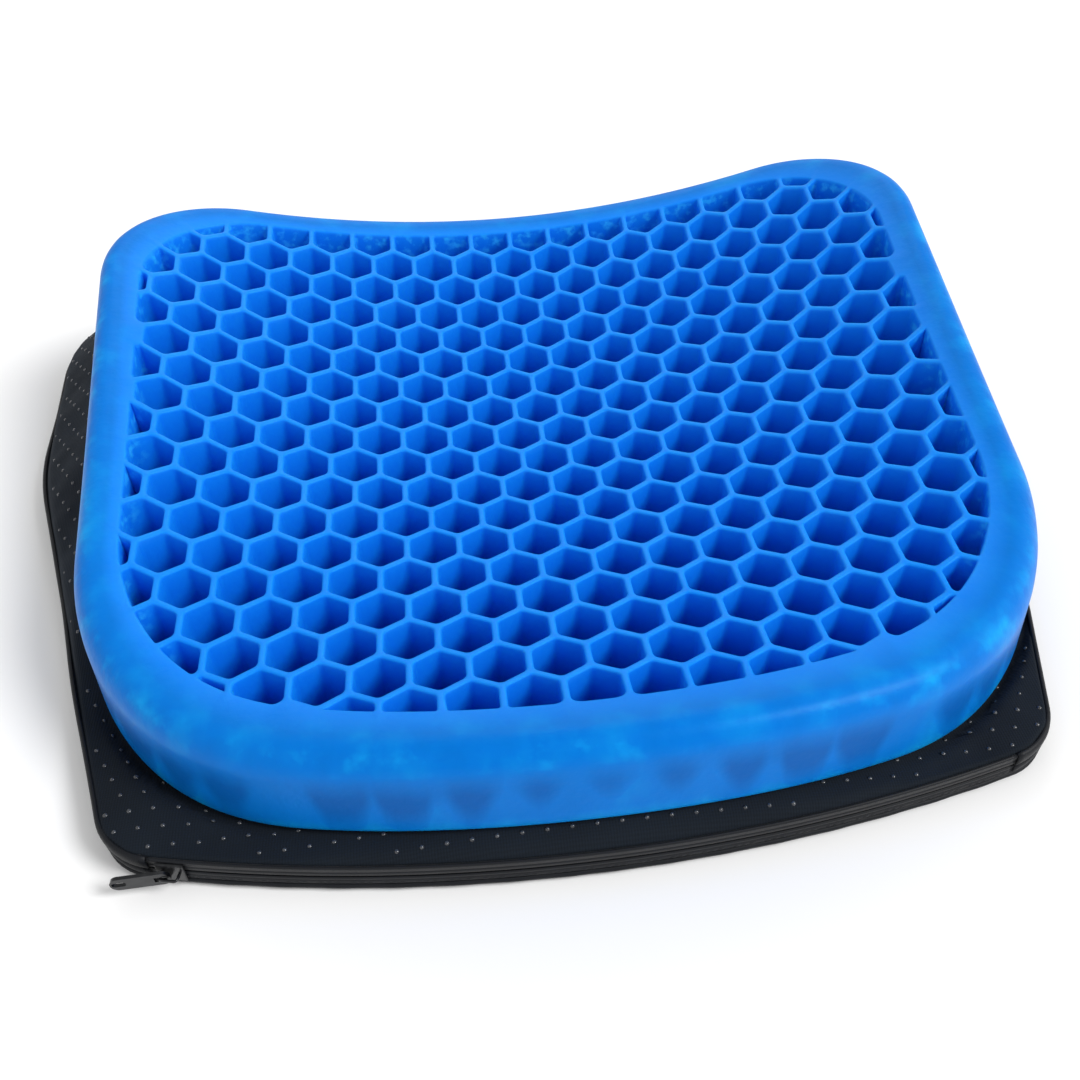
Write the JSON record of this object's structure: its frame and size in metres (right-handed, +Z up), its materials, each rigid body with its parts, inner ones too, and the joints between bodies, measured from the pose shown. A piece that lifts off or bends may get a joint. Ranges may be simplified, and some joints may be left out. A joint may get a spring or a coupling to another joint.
{
  "type": "seat cushion",
  "caption": "Gel honeycomb seat pad with a dished, curved-front outline, lying on its zipped cloth cover with a dotted grip side.",
  "frame": {"origin": "middle of the cover's footprint, on the surface that it lies on", "axes": "+Z up out of the seat, -Y to the front where the thighs go and the zipper runs, +X to the right seen from the front"},
  "size_m": [0.4318, 0.3607, 0.0817],
  "materials": {
    "gel": "glossy translucent elastomer",
    "base_cloth": "black woven cloth",
    "grip_cloth": "black woven cloth with small raised rubber dots",
    "piping_cloth": "black cloth-covered cord",
    "strip_cloth": "black woven cloth",
    "zipper_tape": "black woven tape",
    "zipper_coil": "black nylon coil",
    "zipper_stops": "black",
    "slider_metal": "black enamel"
  },
  "bodies": {
    "cover": {"base_panel": "base_cloth", "grip_panel": "grip_cloth", "base_piping": "piping_cloth", "boxing_strip": "strip_cloth", "zipper_tape_lower": "zipper_tape", "zipper_tape_upper": "zipper_tape", "zipper_coil_lower": "zipper_coil", "zipper_coil_upper": "zipper_coil", "zipper_top_stops": "zipper_stops", "zipper_bottom_stop": "zipper_stops"},
    "pad": {"gel_pad": "gel"},
    "slider": {"zipper_slider": "slider_metal", "slider_bridge": "slider_metal"},
    "pull": {"zipper_pull": "slider_metal"}
  },
  "joints": [
    {"name": "pad_lift", "type": "slide", "parent": "cover", "child": "pad", "axis": [0, 0, 1], "range_m": [0, 0.12]},
    {"name": "zipper_run", "type": "hinge", "parent": "cover", "child": "slider", "pos_m": [0, 0.39313, 0], "axis": [0, 0, 1], "range_deg": [0, 25.9]},
    {"name": "zip_pull_swing", "type": "hinge", "parent": "slider", "child": "pull", "pos_m": [-0.12903, -0.16752, 0.00755], "axis": [0, 0, 1], "range_deg": [-12, 150]}
  ]
}
